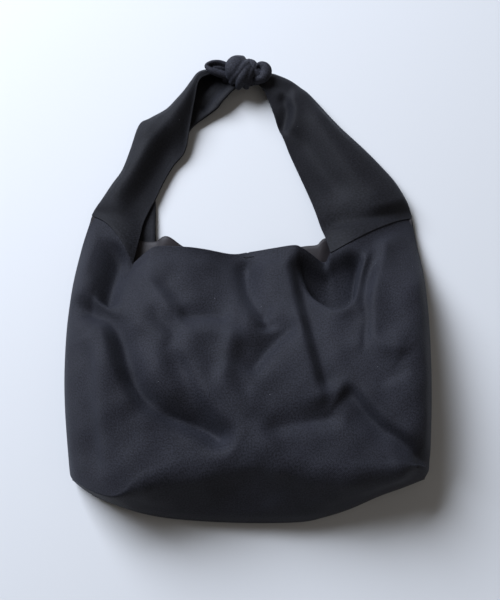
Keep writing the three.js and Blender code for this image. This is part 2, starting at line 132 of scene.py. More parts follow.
def to_pixel(points):
    """Pixels that show points of the frame."""
    away = points - EYE
    depth = away[..., 1] * math.sin(TILT) - away[..., 2] * math.cos(TILT)
    up = away[..., 1] * math.cos(TILT) + away[..., 2] * math.sin(TILT)
    return np.stack([PHOTO_X + FOCAL * away[..., 0] / depth, PHOTO_Y - FOCAL * up / depth], axis=-1)


def placed(marks):
    """Frame points of marks given as pixel across, pixel down and height."""
    marks = np.asarray(marks, float)
    return to_frame(marks[:, 0], marks[:, 1], marks[:, 2])


# Curves and grids

def spline(points, count):
    """Evenly spaced points on a smooth curve through the given ones."""
    points = np.asarray(points, float)
    ends = np.vstack([2 * points[0] - points[1], points, 2 * points[-1] - points[-2]])
    t = np.linspace(0, 1, CURVE_STEPS, endpoint=False)[:, None]
    parts = []
    for a, b, c, d in zip(ends, ends[1:], ends[2:], ends[3:]):
        square = 2 * a - 5 * b + 4 * c - d
        cube = 3 * b - a - 3 * c + d
        parts.append((2 * b + (c - a) * t + square * t ** 2 + cube * t ** 3) / 2)
    dense = np.vstack(parts + [points[-1:]])
    length = np.append(0, np.cumsum(np.linalg.norm(np.diff(dense, axis=0), axis=1)))
    return at_length(dense, length, np.linspace(0, length[-1], count))


def at_length(points, length, where):
    """Points of a polyline at the given values of a growing measure along it."""
    return np.stack([np.interp(where, length, points[:, k]) for k in range(points.shape[1])], axis=-1)


def by_share(points, where, axis=0):
    """Points of a polyline at shares of the way that it goes along one axis."""
    share = (points[:, axis] - points[0, axis]) / (points[-1, axis] - points[0, axis])
    return at_length(points, share, where)


def crowd(t, amount):
    """Values from 0 to 1 that crowd towards 0."""
    return t * (1 - amount) + amount * t * t


def grid_normals(points):
    """Directions straight out of a grid of points."""
    across = np.gradient(points, axis=1)
    along = np.gradient(points, axis=0)
    normals = np.cross(across, along)
    return normals / np.maximum(np.linalg.norm(normals, axis=2, keepdims=True), TINY)


def soften(values, times):
    """Evens out a grid of values, with its border kept."""
    for _ in range(times):
        inside = values[:-2, 1:-1] + values[2:, 1:-1] + values[1:-1, :-2] + values[1:-1, 2:]
        values[1:-1, 1:-1] = values[1:-1, 1:-1] * 0.5 + inside * 0.125
    return values


# Folds, drawn as lines over the photograph

FOLD_REACH = 3  # a fold is worked out as far as this many of its widths beyond its line


def fold(pixels, line, height, under, over, power, fade):
    """Rise of a fold at each pixel: a ridge, or a valley with height below 0. A line runs down or to the
    right; under is the width of the fold to the left of or below it, over the width on the other side.
    A low power makes it sharp, and fade is the share of its length over which it runs out at each end."""
    path = spline(line, FOLD_STEPS)
    start = path[:-1]
    step = np.diff(path, axis=0)
    flat = pixels.reshape(-1, 2)
    reach = FOLD_REACH * max(under, over)
    near = np.all((flat > path.min(axis=0) - reach) & (flat < path.max(axis=0) + reach), axis=1)
    away = flat[near][:, None, :] - start
    t = np.clip((away * step).sum(axis=2) / (step ** 2).sum(axis=1), 0, 1)
    gap = away - t[..., None] * step
    distance = np.linalg.norm(gap, axis=2)
    best = distance.argmin(axis=1)
    row = np.arange(len(best))
    gap = gap[row, best]
    side = step[best, 0] * gap[:, 1] - step[best, 1] * gap[:, 0]
    width = np.where(side > 0, under, over)
    along = (best + t[row, best]) / len(start)
    ends = smooth(np.minimum(along, 1 - along) / fade)
    rise = np.zeros(len(flat))
    rise[near] = height * ends * np.exp(-(distance[row, best] / width) ** power)
    return rise.reshape(pixels.shape[:2])


def swell(pixels, centre, radii, turn, height):
    """Rise of a round swell at each pixel, with its two axes turned by an angle in degrees."""
    away = pixels - np.array(centre, float)
    c, s = math.cos(math.radians(turn)), math.sin(math.radians(turn))
    a = (away[..., 0] * c + away[..., 1] * s) / radii[0]
    b = (away[..., 1] * c - away[..., 0] * s) / radii[1]
    return height * np.exp(-(a * a + b * b))


# Meshes

def new_object(name, points, faces, material, uv=None, normals=None):
    """A smooth mesh in the scene, with a place on the flat cloth and a normal for each point if given."""
    mesh = bpy.data.meshes.new(name)
    mesh.from_pydata((points * MM).tolist(), [], faces)
    mesh.polygons.foreach_set("use_smooth", [True] * len(mesh.polygons))
    if uv is not None:
        corner = np.empty(len(mesh.loops), int)
        mesh.loops.foreach_get("vertex_index", corner)
        mesh.uv_layers.new(name="cloth").data.foreach_set("uv", uv[corner].ravel())
    if normals is not None:
        mesh.normals_split_custom_set_from_vertices(normals.tolist())
    mesh.materials.append(material)
    mesh.validate()
    return link_object(name, mesh)


def link_object(name, data):
    """An object that shows a mesh, lamp or camera, in the scene."""
    made = bpy.data.objects.new(name, data)
    bpy.context.scene.collection.objects.link(made)
    return made


def grid_border(rows, columns):
    """Row and column of each point on the border of a grid, once round it."""
    border = [(0, j) for j in range(columns)]
    border += [(i, columns - 1) for i in range(1, rows)]
    border += [(rows - 1, j) for j in range(columns - 2, -1, -1)]
    border += [(i, 0) for i in range(rows - 2, 0, -1)]
    return border


def layer_faces(rows, columns, border):
    """Faces of a closed layer: its outer grid, its inner grid and two bands that meet on the rim."""
    count = rows * columns
    quads = []
    for i in range(rows - 1):
        for j in range(columns - 1):
            a = i * columns + j
            quads.append((a, a + 1, a + columns + 1, a + columns))
            quads.append((count + a, count + a + columns, count + a + columns + 1, count + a + 1))
    ring = len(border)
    for k, here in enumerate(border):
        beside = border[(k + 1) % ring]
        a = here[0] * columns + here[1]
        b = beside[0] * columns + beside[1]
        p = 2 * count + k
        q = 2 * count + (k + 1) % ring
        quads.append((b, a, p, q))
        quads.append((q, p, count + a, count + b))
    return quads


def laid_flat(points):
    """Places of the points of a grid on the flat cloth, in metres."""
    across = np.linalg.norm(np.diff(points, axis=1), axis=2).mean(axis=0)
    along = np.linalg.norm(np.diff(points, axis=0), axis=2).mean(axis=1)
    u, v = np.meshgrid(np.append(0, np.cumsum(across)), np.append(0, np.cumsum(along)))
    return np.stack([u, v], axis=2) * MM


def layer_object(name, points, normals, depth, thickness, material, side=1, joined=None, shading=None):
    """A closed layer of cloth under a grid of points, with rounded edges. side is 1 where the normals of
    the grid look outwards and -1 where they look in. joined says which column, first or last, meets another
    layer and isn't rounded. shading gives normals to shade by, where they aren't those of the grid."""
    rows, columns = points.shape[:2]
    outward = normals * side
    outer = points - outward * depth
    inner = outer - outward * np.asarray(thickness)[..., None]
    border = grid_border(rows, columns)
    held_column = {None: None, "first": 0, "last": columns - 1}[joined]
    rim = []
    for i, j in border:
        inside = outer[min(max(i, 1), rows - 2), min(max(j, 1), columns - 2)]
        way = outer[i, j] - inside
        bulge = 0 if j == held_column else EDGE_BULGE
        width = np.linalg.norm(outer[i, j] - inner[i, j]) * bulge
        rim.append((outer[i, j] + inner[i, j]) / 2 + way / max(np.linalg.norm(way), TINY) * width)
    quads = layer_faces(rows, columns, border)
    if side < 0:
        quads = [quad[::-1] for quad in quads]
    all_points = np.vstack([outer.reshape(-1, 3), inner.reshape(-1, 3), np.array(rim)])
    flat = laid_flat(points)
    edge = np.array([flat[i, j] for i, j in border])
    uv = np.vstack([flat.reshape(-1, 2), flat.reshape(-1, 2), edge])
    # Points without a normal of their own are shaded by the mesh
    blank = np.zeros((rows * columns + len(border), 3))
    facing = side * (normals if shading is None else shading)
    return new_object(name, all_points, quads, material, uv, np.vstack([facing.reshape(-1, 3), blank]))


# Materials

def new_material(name):
    """A material and its node tree."""
    material = bpy.data.materials.new(name)
    material.use_nodes = True
    return material, material.node_tree


def feed(tree, socket, value):
    """Links an input to an output of another node, or sets it to a number or colour."""
    if isinstance(value, bpy.types.NodeSocket):
        tree.links.new(value, socket)
    else:
        socket.default_value = value


def shaded(material, look):
    """Gives the main shader of a material its looks."""
    tree = material.node_tree
    for key, value in look.items():
        feed(tree, tree.nodes["Principled BSDF"].inputs[key], value)
    return material


def node(tree, kind, **values):
    """A new node, with its settings and its inputs. An input's name is written with _ for each space."""
    made = tree.nodes.new(kind)
    for key, value in values.items():
        if hasattr(made, key):
            setattr(made, key, value)
        else:
            feed(tree, made.inputs[key.replace("_", " ")], value)
    return made


def worked_out(tree, operation, *values):
    """Output of one operation on outputs and numbers."""
    made = node(tree, "ShaderNodeMath", operation=operation)
    for socket, value in zip(made.inputs, values):
        feed(tree, socket, value)
    return made.outputs["Value"]


def between(tree, value, low, high):
    """Output that goes from low to high while a value goes from 0 to 1."""
    return node(tree, "ShaderNodeMapRange", Value=value, To_Min=low, To_Max=high).outputs["Result"]


def colour_ramp(tree, value, dark, light, start=0.0, end=1.0):
    """Colour that goes from dark to light while a value goes from start to end."""
    ramp = node(tree, "ShaderNodeValToRGB", Fac=value)
    first, last = ramp.color_ramp.elements
    first.position = start
    first.color = (*dark, 1)
    last.position = end
    last.color = (*light, 1)
    return ramp.outputs["Color"]


def bumped(tree, height, strength, distance):
    """Normals of a surface that looks uneven."""
    bump = node(tree, "ShaderNodeBump", Height=height, Strength=strength, Distance=distance)
    return bump.outputs["Normal"]


def in_millimetres(tree, place):
    """Places given in metres, in millimetres."""
    return node(tree, "ShaderNodeMapping", Vector=place, Scale=(1 / MM, 1 / MM, 1 / MM)).outputs["Vector"]


def on_cloth(tree):
    """Places on the flat cloth."""
    return in_millimetres(tree, node(tree, "ShaderNodeUVMap", uv_map="cloth").outputs["UV"])


def in_object(tree):
    """Places in the object, for a piece that has no flat cloth."""
    return in_millimetres(tree, node(tree, "ShaderNodeTexCoord").outputs["Object"])


# The fibres' part of the colour is partly their own tone and partly painted sheen, lighter where the fibre
# bump is higher.
FIBRE_COLOUR = 0.7  # how much the fibres count in the colour
TWILL_HEIGHT = 0.6  # height of the twill beside that of the fibres
LINT_SIZE = 0.018  # radius of a speck of lint, as a share of the cell that holds it
LINT_COLOUR = (0.2, 0.2, 0.22, 1)
SHEEN_COLOUR = (0.72, 0.8, 1.0, 1)


def wool(name, dark, light, places=on_cloth):
    """Fine wool twill: colour that drifts a little, a twill bump, loose fibres with painted sheen, lint and
    a soft sheen.
    """
    material, tree = new_material(name)
    place = places(tree)
    twill = node(tree, "ShaderNodeTexWave", bands_direction="DIAGONAL", Vector=place, Scale=0.33,
                 Distortion=0.8)
    drift = node(tree, "ShaderNodeTexNoise", Vector=place, Scale=0.02, Detail=5.0)
    fibre = node(tree, "ShaderNodeTexNoise", Vector=place, Scale=0.5, Detail=4.0, Roughness=0.75)
    lint = node(tree, "ShaderNodeTexVoronoi", Vector=place, Scale=0.05)
    slight_drift = between(tree, drift.outputs["Fac"], low=0.44, high=0.56)
    # Fibre tone, partly real and partly painted sheen on the raised fibres
    fibre_tone_and_sheen = worked_out(tree, "MULTIPLY_ADD", fibre.outputs["Fac"], FIBRE_COLOUR, slight_drift)
    colour = colour_ramp(tree, fibre_tone_and_sheen, dark, light, start=0.79, end=0.91)
    speck = worked_out(tree, "LESS_THAN", lint.outputs["Distance"], LINT_SIZE)
    dusted = node(tree, "ShaderNodeMix", data_type="RGBA", Factor=speck, A=colour, B=LINT_COLOUR)
    nap = worked_out(tree, "MULTIPLY_ADD", twill.outputs["Fac"], TWILL_HEIGHT, fibre.outputs["Fac"])
    look = {
        "Base Color": dusted.outputs["Result"],
        "Roughness": between(tree, fibre.outputs["Fac"], low=0.56, high=0.72),
        "Normal": bumped(tree, nap, strength=0.6, distance=0.4 * MM),
        "Specular IOR Level": 0.1,
        "Sheen Weight": 0.03,
        "Sheen Roughness": 0.45,
        "Sheen Tint": SHEEN_COLOUR,
    }
    return shaded(material, look)


THREAD_HEIGHT = 0.15  # height of the threads of the satin beside that of its creases


def satin(name, dark, light):
    """Lining satin: fine threads along one way, a soft gloss and slight creasing, with painted shade in the
    hollows of the creases.
    """
    material, tree = new_material(name)
    place = on_cloth(tree)
    thread = node(tree, "ShaderNodeTexWave", bands_direction="X", Vector=place, Scale=0.6, Distortion=0.4)
    crease = node(tree, "ShaderNodeTexNoise", Vector=place, Scale=0.06, Detail=4.0).outputs["Fac"]
    height = worked_out(tree, "MULTIPLY_ADD", thread.outputs["Fac"], THREAD_HEIGHT, crease)
    # The colour follows the creases and is darker in their hollows: painted shade.
    look = {
        "Base Color": colour_ramp(tree, crease, dark, light, start=0.3, end=0.7),
        "Roughness": between(tree, crease, low=0.45, high=0.6),
        "Normal": bumped(tree, height, strength=0.3, distance=1 * MM),
        "Specular IOR Level": 0.2,
    }
    return shaded(material, look)


def steel(name, dark, light):
    """Brushed steel."""
    material, tree = new_material(name)
    place = node(tree, "ShaderNodeTexCoord").outputs["Object"]
    brushed = node(tree, "ShaderNodeTexNoise", Vector=place, Scale=900.0, Detail=3.0).outputs["Fac"]
    look = {
        "Base Color": colour_ramp(tree, brushed, dark, light),
        "Roughness": between(tree, brushed, low=0.25, high=0.45),
        "Metallic": 1.0,
    }
    return shaded(material, look)


WOOL = wool("wool", dark=(0.0071, 0.0072, 0.0096), light=(0.0203, 0.0208, 0.0274))
# The straps are the same wool as the body, painted darker: painted shade for the weaker sheen of their bias
# cut.
STRAP_WOOL_SHADED = wool("strap_wool", dark=(0.0040, 0.0040, 0.0051), light=(0.0116, 0.0117, 0.0147))
# The knot is the same wool as the body, painted lighter: painted light on its lobes.
KNOT_WOOL_LIT = wool("knot_wool", dark=(0.0098, 0.0098, 0.0130), light=(0.0280, 0.0285, 0.0370),
                 places=in_object)
SATIN = satin("lining", dark=(0.012, 0.010, 0.011), light=(0.022, 0.018, 0.020))
STEEL = steel("snap_steel", dark=(0.28, 0.28, 0.29), light=(0.42, 0.42, 0.43))
# Very dark wool for the beads below the mouth: painted shade.
SHADE_MARK_WOOL = wool("thread", dark=(0.004, 0.004, 0.005), light=(0.02, 0.02, 0.022), places=in_object)


# Outlines of the body, read off the photograph

EDGE_HEIGHT = 14  # height at which the outline of the body was read
LEFT_BASE, RIGHT_BASE = (72, 480), (425, 479)
LEFT_TOP, RIGHT_TOP = (92, 214), (412, 217)  # outer ends of the strap seams
LEFT_CORNER, RIGHT_CORNER = (133, 262), (330.5, 251)  # where the mouth starts at the straps
LEFT_BACK_CORNER, RIGHT_BACK_CORNER = (156, 241), (324, 238)  # the same places on the rim of the back
LEFT_SIDE = [LEFT_BASE, (69.5, 466), (65, 400), (66, 345), (71, 297), (80, 252), LEFT_TOP]
RIGHT_SIDE = [RIGHT_BASE, (428.5, 462), (430, 400), (428.5, 335), (424, 280), (418, 246), RIGHT_TOP]
BASE = [LEFT_BASE, (83, 489), (100, 499), (130, 510), (160, 517), (200, 521), (250, 523), (300, 522),
        (325, 517), (350, 509), (380, 496), (405, 487), RIGHT_BASE]
# Front edge, pixel across, pixel down and height: the left strap seam, the mouth and the right strap seam
LEFT_SEAM = [(*LEFT_TOP, 10), (106, 221, 16), (118, 234, 20), (126, 247, 21), (*LEFT_CORNER, 18)]
MOUTH = [(*LEFT_CORNER, 18), (146, 250.5, 27), (156, 245.5, 32), (184, 246, 32), (205, 248.5, 26),
         (232, 253.5, 13.5), (249, 251.5, 13.5), (270, 248, 28), (293, 244.5, 44), (302, 246.5, 42),
         (313, 254, 32), (324.6, 262, 22), (*RIGHT_CORNER, 32)]
RIGHT_SEAM = [(*RIGHT_CORNER, 32), (350, 240, 40), (374, 228, 32), (397, 219.5, 18), (*RIGHT_TOP, 10)]
BACK_RIM = [(*LEFT_TOP, 9), (120, 232, 2), (140, 240, 2), (*LEFT_BACK_CORNER, 5), (167, 235.5, 13),
            (184, 246.5, 7), (205, 252, 5), (232, 257, 4), (270, 252, 4), (293, 247.5, 5), (306, 245.5, 6),
            (318, 244, 8), (*RIGHT_BACK_CORNER, 10), (340, 236, 6), (370, 230, 3), (*RIGHT_TOP, 9)]


def outline(marks):
    """Curve in the frame through pixels at the height of the outline."""
    return spline([to_frame(px, py, EDGE_HEIGHT) for px, py in marks], SIDE_STEPS)


left_side = outline(LEFT_SIDE)
right_side = outline(RIGHT_SIDE)
base_edge = outline(BASE)
left_seam = spline(placed(LEFT_SEAM), SEAM_STEPS)
mouth_edge = spline(placed(MOUTH), MOUTH_STEPS)
right_seam = spline(placed(RIGHT_SEAM), SEAM_STEPS)
front_edge = np.vstack([left_seam, mouth_edge[1:], right_seam[1:]])
back_edge = spline(placed(BACK_RIM), RIM_STEPS)


def gentle(edge):
    """An edge as it would run without its notches, given at even shares across."""
    even = by_share(edge, np.linspace(0, 1, PROFILE_STEPS))
    for _ in range(EDGE_ROUNDS):
        even[1:-1] = even[1:-1] * 0.5 + (even[:-2] + even[2:]) * 0.25
    return even


gentle_edge = gentle(front_edge)


def body_plan(across, along, top):
    """Places in plan of a grid between the outlines, with across from 0 at the left to 1 at the right and
    along from 0 at the base to 1 at the top edge."""
    low = by_share(base_edge, across)
    high = by_share(top, across)
    left = by_share(left_side, along, axis=1)
    right = by_share(right_side, along, axis=1)
    a = across[..., None]
    b = along[..., None]
    ends = (1 - b) * ((1 - a) * base_edge[0] + a * base_edge[-1]) + b * ((1 - a) * top[0] + a * top[-1])
    return ((1 - b) * low + b * high + (1 - a) * left + a * right - ends)[..., :2]


# Front of the body

SPLIT_X = 0.0  # the front is two halves that meet on this line, because its mouth bends both ways
ARCH_POWERS = (7.0, 16.0)  # how boxy the left and the right side are
# Height of the front over its middle, by the distance from the base, without the turn down to the base
FRONT_RISE = [(0, 72), (70, 75), (120, 77), (170, 74), (220, 66), (280, 50), (340, 38)]
# The turn down to the base: share of its length, then share of the height
BASE_TURN = [(0, 0), (0.06, 0.22), (0.15, 0.38), (0.35, 0.58), (0.6, 0.77), (0.85, 0.93), (1.05, 1),
             (1.3, 1)]
# Length of that turn by the share of the way across
BASE_LENGTHS = [(0, 6), (0.14, 8), (0.25, 40), (0.5, 82), (0.6, 62), (0.75, 44), (0.94, 18), (1, 8)]
MOUTH_SHARE = 0.7  # beyond this share of the way from the base the height turns into that of the edge
NOTCH_SHARE = 0.78  # beyond this share the notches at the corners of the mouth set in
# Shares of the front over which the folds run out at the sides, at the base and at the mouth
SIDE_FADE = 0.04
BASE_FADE = 0.06
MOUTH_FADE = 0.08
SPLIT_STEPS = 800  # places across at which the line between the halves is looked for
SPLIT_COLUMNS = 12  # columns on each side that follow when the line is made straight
# Folds: line, height, width under, width over, power, fade
FRONT_FOLDS = [
    # The long valley from the left side down to the middle, its lower wall and the lip beside its start
    ([(70, 297), (80, 306), (92, 311), (105, 315), (115, 327), (121, 345), (126, 364), (133, 383),
      (143, 397), (155, 406), (170, 414), (187, 421), (204, 429), (219, 438), (234, 449)],
     -19, 10, 17, 1.8, 0.08),
    ([(150, 410), (170, 419), (187, 425), (204, 433), (219, 442), (232, 451)], -7, 30, 8, 1.8, 0.3),
    ([(94, 318), (101, 326), (107, 344), (112, 362), (119, 381), (129, 398), (142, 413)],
     7, 16, 7, 1.8, 0.2),
    # Between the left strap and the dome
    ([(124, 244), (119, 262), (114, 280), (108, 302)], -18, 14, 8, 1.6, 0.12),
    # Left side
    ([(89, 335), (90, 370), (91, 410), (94, 450), (101, 480)], -6, 13, 8, 2.0, 0.2),
    ([(97, 335), (98, 380), (100, 420), (108, 460), (120, 490), (128, 503)], 4, 10, 14, 2.0, 0.2),
    # Upper left
    ([(140, 272), (152, 287), (161, 298), (169, 310), (178, 317)], 5, 8, 9, 1.7, 0.25),
    ([(160, 275), (170, 287), (178, 299), (184, 307)], -3, 7, 8, 2.0, 0.3),
    ([(176, 313), (190, 312), (206, 311), (220, 313), (232, 318)], -9, 9, 8, 1.6, 0.2),
    ([(174, 330), (190, 332), (206, 331), (220, 331), (230, 330)], 3, 10, 12, 2.0, 0.25),
    ([(150, 300), (160, 314), (171, 328), (182, 340)], -4, 8, 6, 1.8, 0.3),
    # Curved ridges left of the middle
    ([(126, 322), (142, 325), (158, 333), (171, 346)], 4, 9, 8, 1.8, 0.25),
    ([(160, 346), (173, 358), (183, 374), (190, 392), (199, 410), (212, 428), (226, 443)],
     -6, 12, 9, 2.0, 0.2),
    ([(172, 336), (187, 353), (197, 372), (205, 390), (217, 408), (231, 424), (244, 443)],
     7, 10, 16, 2.0, 0.2),
    ([(236, 320), (231, 334), (228, 350), (226, 366), (222, 380), (231, 394), (245, 407), (258, 421)],
     6, 8, 13, 1.7, 0.15),
    ([(248, 334), (242, 352), (239, 372), (246, 388), (256, 396)], -3, 8, 10, 2.0, 0.25),
    ([(302, 321), (285, 331), (269, 346), (257, 362), (248, 378)], -12, 15, 8, 1.6, 0.2),
    # From the snap
    ([(245, 256), (246, 275), (249, 291), (257, 305), (265, 320), (268, 332)], -12, 7, 11, 1.6, 0.12),
    ([(266, 258), (268, 276), (271, 290), (278, 300)], 3, 12, 10, 1.8, 0.25),
    ([(266, 298), (267, 308), (261, 318)], -4, 4, 4, 2.0, 0.3),
    # The sharp crease right of the middle
    ([(285, 249), (289, 270), (294, 292), (300, 316), (307, 342), (314, 368), (321, 392), (326, 408)],
     7, 20, 5, 1.2, 0.1),
    ([(293, 251), (298, 273), (303, 296), (309, 320), (315, 345), (322, 370), (329, 395)],
     -10, 6, 13, 1.7, 0.12),
    # The lip of the bowl under the right corner of the mouth
    ([(302, 262), (312, 281), (323, 296), (334, 307), (343, 308), (350, 302), (354, 289), (358, 275),
      (365, 260), (374, 248)], 6, 7, 4, 1.6, 0.15),
    # Right side
    ([(382, 232), (385, 250), (381, 270), (375, 293), (371, 318), (374, 338), (386, 347), (402, 351),
      (409, 358)], 8, 9, 14, 1.6, 0.12),
    ([(374, 250), (368, 272), (365, 295), (366, 320), (362, 352)], -6, 7, 6, 2.0, 0.2),
    ([(352, 300), (360, 309), (363, 318), (361, 334), (358, 354)], 4, 6, 4, 1.6, 0.25),
    ([(412, 366), (396, 375), (374, 385)], -3, 10, 6, 2.0, 0.35),
    # The crease to the right base corner
    ([(340, 384), (348, 388), (357, 398), (368, 413), (382, 427), (398, 438), (414, 449), (427, 459),
      (440, 470)], -12, 16, 5, 1.4, 0.12),
    ([(342, 377), (353, 384), (363, 394), (375, 409), (389, 421), (404, 432), (424, 447)],
     2, 4, 10, 1.6, 0.2),
    # Above the base
    ([(258, 434), (285, 426), (310, 421), (335, 418), (348, 420)], -8, 11, 15, 1.6, 0.25),
    ([(262, 441), (285, 435), (310, 430), (335, 427), (360, 434), (380, 446)], 2.5, 14, 6, 2.0, 0.3),
    ([(118, 494), (143, 484), (165, 479), (195, 474), (222, 468), (250, 462), (280, 466), (310, 474),
      (340, 478), (380, 475), (425, 466)], 9, 18, 38, 1.6, 0.1),
]
# Broad swells: centre, radii, turn, height
FRONT_SWELLS = [
    ((80, 252), (20, 42), 0, 10),
    ((178, 275), (48, 28), 0, 7),
    ((420, 390), (30, 90), 0, 12),
    ((152, 372), (20, 26), -25, 6),
    ((262, 444), (20, 30), -10, 8),
]
# The bowl under the right corner of the mouth, a valley that stays deep on the upper side of its line
OPEN = math.inf  # width of a fold on a side on which it keeps its height
MOUTH_BOWL = ([(300, 251), (304, 266), (312, 282), (321, 294), (331, 302), (341, 304), (348, 299),
               (351, 289), (353, 278), (357, 265), (363, 254)], -38, 3, OPEN, 1.6, 0.1)
BOWL_SHARE = 0.17  # share of the length of the front over which the floor of the bowl falls
# Slight unevenness of the cloth: wave length in pixels, direction in degrees, height
RIPPLES = [(67, 20, 0.6), (47, 75, 0.5), (35, 130, 0.4), (26, 50, 0.25), (19, 160, 0.15)]


def ripples(pixels):
    """Rise of the slight unevenness at each pixel."""
    rise = np.zeros(pixels.shape[:2])
    for k, (wave, turn, height) in enumerate(RIPPLES):
        way = pixels @ np.array([math.cos(math.radians(turn)), math.sin(math.radians(turn))])
        rise += height * np.sin(2 * math.pi * way / wave + k)
    return rise


def front_height(across, along, length):
    """Height of the front before its folds."""
    profile = spline(FRONT_RISE, PROFILE_STEPS)
    crown = np.interp(along * length, profile[:, 0], profile[:, 1])
    turn = spline(BASE_TURN, TURN_STEPS)
    lengths = spline(BASE_LENGTHS, TURN_STEPS)
    turn_length = np.interp(across, lengths[:, 0], lengths[:, 1])
    crown = lerp(SEAM_HEIGHT, crown, np.interp(along * length / turn_length, turn[:, 0], turn[:, 1]))
    power = np.where(across < 0.5, *ARCH_POWERS)
    arch = np.sqrt(np.maximum(1 - np.abs(2 * across - 1) ** power, 0))
    z = SEAM_HEIGHT + (crown - SEAM_HEIGHT) * arch
    edge = by_share(gentle_edge, across)[..., 2]
    return lerp(z, edge, smooth((along - MOUTH_SHARE) / (1 - MOUTH_SHARE)))


def halves_across(along):
    """Share across of each column in each row. Columns crowd towards the sides, and the middle one runs on
    the line between the halves."""
    fine = np.linspace(0, 1, SPLIT_STEPS)
    plan = body_plan(*np.meshgrid(fine, along), gentle_edge)
    split = np.array([np.interp(SPLIT_X, row[:, 0], fine) for row in plan])[:, None]
    steps = crowd(np.linspace(0, 1, HALF_COLUMNS), FRONT_CROWD_ACROSS)
    left = split * steps
    right = 1 - (1 - split) * steps[::-1]
    return np.hstack([left, right[:, 1:]])


def front_surface():
    """Grid of the front, and the share of the way from the base for each of its points."""
    along = crowd(np.linspace(0, 1, BODY_ROWS), FRONT_CROWD_ALONG)
    across = halves_across(along)
    along = np.repeat(along[:, None], across.shape[1], axis=1)
    plan = body_plan(across, along, gentle_edge)
    length = np.linalg.norm(np.diff(plan, axis=0), axis=2).sum(axis=0)
    points = np.dstack([plan, front_height(across, along, length)])
    pixels = to_pixel(points)
    rise = ripples(pixels) + sum(fold(pixels, *stroke) for stroke in FRONT_FOLDS)
    rise += fold(pixels, *MOUTH_BOWL) * np.clip((1 - along) / BOWL_SHARE, 0, 1)
    lift = sum(swell(pixels, *stroke) for stroke in FRONT_SWELLS)
    # The folds run out at the seams and at the edge of the mouth
    beside = smooth(np.minimum(across, 1 - across) / SIDE_FADE)
    inside = beside * smooth(along / BASE_FADE) * smooth((1 - along) / MOUTH_FADE)
    points = points + grid_normals(points) * soften(rise * inside, FOLD_ROUNDS)[..., None]
    points[..., 2] += lift * inside
    # Close to its edge the front takes up the notches at the corners of the mouth
    notch = by_share(front_edge, across) - by_share(gentle_edge, across)
    points += notch * (smooth((along - NOTCH_SHARE) / (1 - NOTCH_SHARE)) ** 2)[..., None]
    # The middle column goes back on the line where the halves meet, and its neighbours follow
    shift = SPLIT_X - points[:, HALF_COLUMNS - 1, 0]
    columns = np.abs(np.arange(points.shape[1]) - (HALF_COLUMNS - 1))
    points[..., 0] += shift[:, None] * smooth(1 - columns / SPLIT_COLUMNS)
    return points, along


front, front_along = front_surface()
front_shading = grid_normals(front)
# On the line between the halves the layers go straight back, so that both halves stay on their side
front_normals = front_shading.copy()
front_normals[:, HALF_COLUMNS - 1, 0] = 0
front_normals /= np.linalg.norm(front_normals, axis=2, keepdims=True)

MOUTH_LEFT = (-136.0, 14.0)  # corners that stay where they are when the mouth opens
MOUTH_RIGHT = (101.0, 28.0)
BEND = np.array([SPLIT_X, -140.0])  # lowest place that bends
SNAP = np.mean(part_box("snap_stud"), axis=0)[:2] / MM
SNAP_RADIUS = 9


def open_with_mouth(piece, corner, rate=None):
    """Works out how fast one half of the front would rise along the middle if it bent between the bag and
    its mouth, still on the line from the bend to the corner and fully lifted at the snap, unless that rate
    is given. Bakes the half's place into its mesh and returns the rate."""
    way = np.array(corner) - BEND
    up = np.array([way[1], -way[0]]) / np.linalg.norm(way)
    if up[1] < 0:
        up = -up
    if rate is None:
        rim = np.array([SNAP[0] + np.sign(corner[0]) * SNAP_RADIUS, SNAP[1]])
        rate = up[1] / ((rim - BEND) @ up)
    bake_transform(piece)
    return rate


edge_distance = (1 - front_along) * np.linalg.norm(np.diff(front, axis=0), axis=2).sum(axis=0)
hem = CLOTH + HEM * smooth((HEM_WIDTH - edge_distance) / HEM_TURN)
HALVES = {
    "left": (slice(None, HALF_COLUMNS), "last", MOUTH_LEFT),
    "right": (slice(HALF_COLUMNS - 1, None), "first", MOUTH_RIGHT),
}
front_panels = {}
rate = None
for name, (columns, joined, corner) in HALVES.items():
    half = front[:, columns]
    panel = layer_object(f"front_panel_{name}", half, front_normals[:, columns], 0, hem[:, columns], WOOL,
                         joined=joined, shading=front_shading[:, columns])
    rate = open_with_mouth(panel, corner, rate)
    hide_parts("front_panel", "front_mouth_panel")
    front_panels[name] = panel
    coarse = half[::LINING_STEP, ::LINING_STEP]
    coarse_normals = front_normals[:, columns][::LINING_STEP, ::LINING_STEP]
    lining = layer_object(f"front_lining_{name}", coarse, coarse_normals, LINING_DEPTH + HEM / 2, LINING,
                          SATIN, joined=joined)
    open_with_mouth(lining, corner, rate)
    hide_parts("front_lining", "front_mouth_lining")


# Back of the body

BACK_EDGE_SHARE = 0.86  # beyond this share of the way from the base the back turns into its rim


def back_surface():
    """Grid of the back, flat on the floor and turned up to the seams and to the rim."""
    steps = crowd(np.linspace(0, 1, BACK_HALF_COLUMNS), BACK_CROWD_ACROSS) / 2
    across = np.concatenate([steps, 1 - steps[-2::-1]])
    along = crowd(np.linspace(0, 1, BACK_ROWS), BACK_CROWD_ALONG)
    across, along = np.meshgrid(across, along)
    plan = body_plan(across, along, back_edge)
    width = plan[:, -1, 0] - plan[:, 0, 0]
    length = np.linalg.norm(np.diff(plan, axis=0), axis=2).sum(axis=0)
    side = np.clip(np.minimum(across, 1 - across) * width[:, None] / SEAM_HEIGHT, 0, 1)
    low = np.clip(along * length / SEAM_HEIGHT, 0, 1)
    flat = np.sqrt(1 - (1 - side) ** 2) * np.sqrt(1 - (1 - low) ** 2)
    z = SEAM_HEIGHT * (1 - flat)
    at_rim = smooth((along - BACK_EDGE_SHARE) / (1 - BACK_EDGE_SHARE))
    return np.dstack([plan, lerp(z, by_share(back_edge, across)[..., 2], at_rim)])


